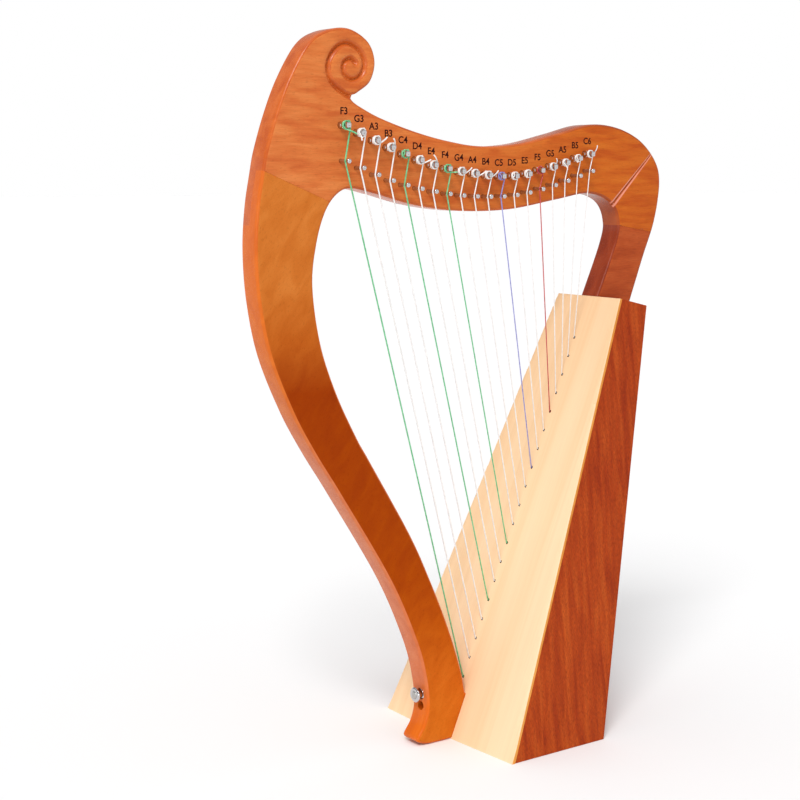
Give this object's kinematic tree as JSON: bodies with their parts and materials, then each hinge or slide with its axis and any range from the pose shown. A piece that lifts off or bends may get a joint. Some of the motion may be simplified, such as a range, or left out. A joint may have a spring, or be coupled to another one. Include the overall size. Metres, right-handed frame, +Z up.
{
  "type": "lap harp",
  "caption": "Small lap harp: scrolled neck, curved pillar and tapered soundbox in wood, nylon strings, and tuning pins that turn in the neck.",
  "frame": {"origin": "on the ground, under the middle of the whole harp's box", "axes": "+Z up, +X from the pillar towards the soundbox, -Y the side that the pins and strings are on"},
  "size_m": [0.4106, 0.17, 0.5717],
  "materials": {
    "frame_wood": "satin clear lacquer over orange-brown hardwood, long grain along the neck",
    "pillar_wood": "satin clear lacquer over freckled orange hardwood",
    "mahogany": "satin clear lacquer over red-brown mahogany, streaks running up the panel",
    "soundboard_wood": "satin clear lacquer over pale, plain, fine-grained wood",
    "inner_wood": "bare, planed light wood",
    "chrome": "polished nickel or chrome plate on steel",
    "screw_steel": "plain zinc-plated steel",
    "nylon_clear": "translucent white nylon monofilament",
    "nylon_green": "green dyed nylon monofilament",
    "nylon_blue": "blue dyed nylon monofilament",
    "nylon_red": "red dyed nylon monofilament",
    "marking_ink": "dark brown printed ink"
  },
  "bodies": {
    "harp": {"neck": "frame_wood", "pillar": "pillar_wood", "shoulder_post": "frame_wood", "shoulder_dowels": "inner_wood", "soundboard": "soundboard_wood", "string_rib": "inner_wood", "side_panel_near": "mahogany", "side_panel_far": "mahogany", "back_panel": "mahogany", "top_cap": "mahogany", "base_panel": "mahogany", "bottom_block": "inner_wood", "top_block": "inner_wood", "front_linings": "inner_wood", "back_linings": "inner_wood", "back_braces": "inner_wood", "bridge_pins": "chrome", "strings": "nylon_clear", "strap_button": "chrome", "strap_button_screw": "chrome", "pillar_screw": "screw_steel", "tenon_screws": "screw_steel"},
    "pin_f3": {"tuning_pin_f3": "chrome", "winding_f3": "nylon_green"},
    "pin_g3": {"tuning_pin_g3": "chrome", "winding_g3": "nylon_clear"},
    "pin_a3": {"tuning_pin_a3": "chrome", "winding_a3": "nylon_clear"},
    "pin_b3": {"tuning_pin_b3": "chrome", "winding_b3": "nylon_clear"},
    "pin_c4": {"tuning_pin_c4": "chrome", "winding_c4": "nylon_green"},
    "pin_d4": {"tuning_pin_d4": "chrome", "winding_d4": "nylon_clear"},
    "pin_e4": {"tuning_pin_e4": "chrome", "winding_e4": "nylon_clear"},
    "pin_f4": {"tuning_pin_f4": "chrome", "winding_f4": "nylon_green"},
    "pin_g4": {"tuning_pin_g4": "chrome", "winding_g4": "nylon_clear"},
    "pin_a4": {"tuning_pin_a4": "chrome", "winding_a4": "nylon_clear"},
    "pin_b4": {"tuning_pin_b4": "chrome", "winding_b4": "nylon_clear"},
    "pin_c5": {"tuning_pin_c5": "chrome", "winding_c5": "nylon_blue"},
    "pin_d5": {"tuning_pin_d5": "chrome", "winding_d5": "nylon_clear"},
    "pin_e5": {"tuning_pin_e5": "chrome", "winding_e5": "nylon_clear"},
    "pin_f5": {"tuning_pin_f5": "chrome", "winding_f5": "nylon_red"},
    "pin_g5": {"tuning_pin_g5": "chrome", "winding_g5": "nylon_clear"},
    "pin_a5": {"tuning_pin_a5": "chrome", "winding_a5": "nylon_clear"},
    "pin_b5": {"tuning_pin_b5": "chrome", "winding_b5": "nylon_clear"},
    "pin_c6": {"tuning_pin_c6": "chrome", "winding_c6": "nylon_clear"}
  },
  "joints": [
    {"name": "turn_pin_f3", "type": "hinge", "parent": "harp", "child": "pin_f3", "pos_m": [-0.1303, -0.01, 0.5], "axis": [0, -1, 0], "range_deg": [-900, 90]},
    {"name": "turn_pin_g3", "type": "hinge", "parent": "harp", "child": "pin_g3", "pos_m": [-0.11665, -0.01, 0.49456], "axis": [0, -1, 0], "range_deg": [-900, 90]},
    {"name": "turn_pin_a3", "type": "hinge", "parent": "harp", "child": "pin_a3", "pos_m": [-0.103, -0.01, 0.48911], "axis": [0, -1, 0], "range_deg": [-900, 90]},
    {"name": "turn_pin_b3", "type": "hinge", "parent": "harp", "child": "pin_b3", "pos_m": [-0.08935, -0.01, 0.484], "axis": [0, -1, 0], "range_deg": [-900, 90]},
    {"name": "turn_pin_c4", "type": "hinge", "parent": "harp", "child": "pin_c4", "pos_m": [-0.0757, -0.01, 0.4792], "axis": [0, -1, 0], "range_deg": [-900, 90]},
    {"name": "turn_pin_d4", "type": "hinge", "parent": "harp", "child": "pin_d4", "pos_m": [-0.06205, -0.01, 0.47474], "axis": [0, -1, 0], "range_deg": [-900, 90]},
    {"name": "turn_pin_e4", "type": "hinge", "parent": "harp", "child": "pin_e4", "pos_m": [-0.0484, -0.01, 0.471], "axis": [0, -1, 0], "range_deg": [-900, 90]},
    {"name": "turn_pin_f4", "type": "hinge", "parent": "harp", "child": "pin_f4", "pos_m": [-0.03475, -0.01, 0.46819], "axis": [0, -1, 0], "range_deg": [-900, 90]},
    {"name": "turn_pin_g4", "type": "hinge", "parent": "harp", "child": "pin_g4", "pos_m": [-0.0211, -0.01, 0.46609], "axis": [0, -1, 0], "range_deg": [-900, 90]},
    {"name": "turn_pin_a4", "type": "hinge", "parent": "harp", "child": "pin_a4", "pos_m": [-0.00745, -0.01, 0.4645], "axis": [0, -1, 0], "range_deg": [-900, 90]},
    {"name": "turn_pin_b4", "type": "hinge", "parent": "harp", "child": "pin_b4", "pos_m": [0.0062, -0.01, 0.46315], "axis": [0, -1, 0], "range_deg": [-900, 90]},
    {"name": "turn_pin_c5", "type": "hinge", "parent": "harp", "child": "pin_c5", "pos_m": [0.01985, -0.01, 0.4623], "axis": [0, -1, 0], "range_deg": [-900, 90]},
    {"name": "turn_pin_d5", "type": "hinge", "parent": "harp", "child": "pin_d5", "pos_m": [0.0335, -0.01, 0.4625], "axis": [0, -1, 0], "range_deg": [-900, 90]},
    {"name": "turn_pin_e5", "type": "hinge", "parent": "harp", "child": "pin_e5", "pos_m": [0.04715, -0.01, 0.46419], "axis": [0, -1, 0], "range_deg": [-900, 90]},
    {"name": "turn_pin_f5", "type": "hinge", "parent": "harp", "child": "pin_f5", "pos_m": [0.0608, -0.01, 0.46693], "axis": [0, -1, 0], "range_deg": [-900, 90]},
    {"name": "turn_pin_g5", "type": "hinge", "parent": "harp", "child": "pin_g5", "pos_m": [0.07445, -0.01, 0.47], "axis": [0, -1, 0], "range_deg": [-900, 90]},
    {"name": "turn_pin_a5", "type": "hinge", "parent": "harp", "child": "pin_a5", "pos_m": [0.0881, -0.01, 0.47328], "axis": [0, -1, 0], "range_deg": [-900, 90]},
    {"name": "turn_pin_b5", "type": "hinge", "parent": "harp", "child": "pin_b5", "pos_m": [0.10175, -0.01, 0.47689], "axis": [0, -1, 0], "range_deg": [-900, 90]},
    {"name": "turn_pin_c6", "type": "hinge", "parent": "harp", "child": "pin_c6", "pos_m": [0.1154, -0.01, 0.4805], "axis": [0, -1, 0], "range_deg": [-900, 90]}
  ]
}
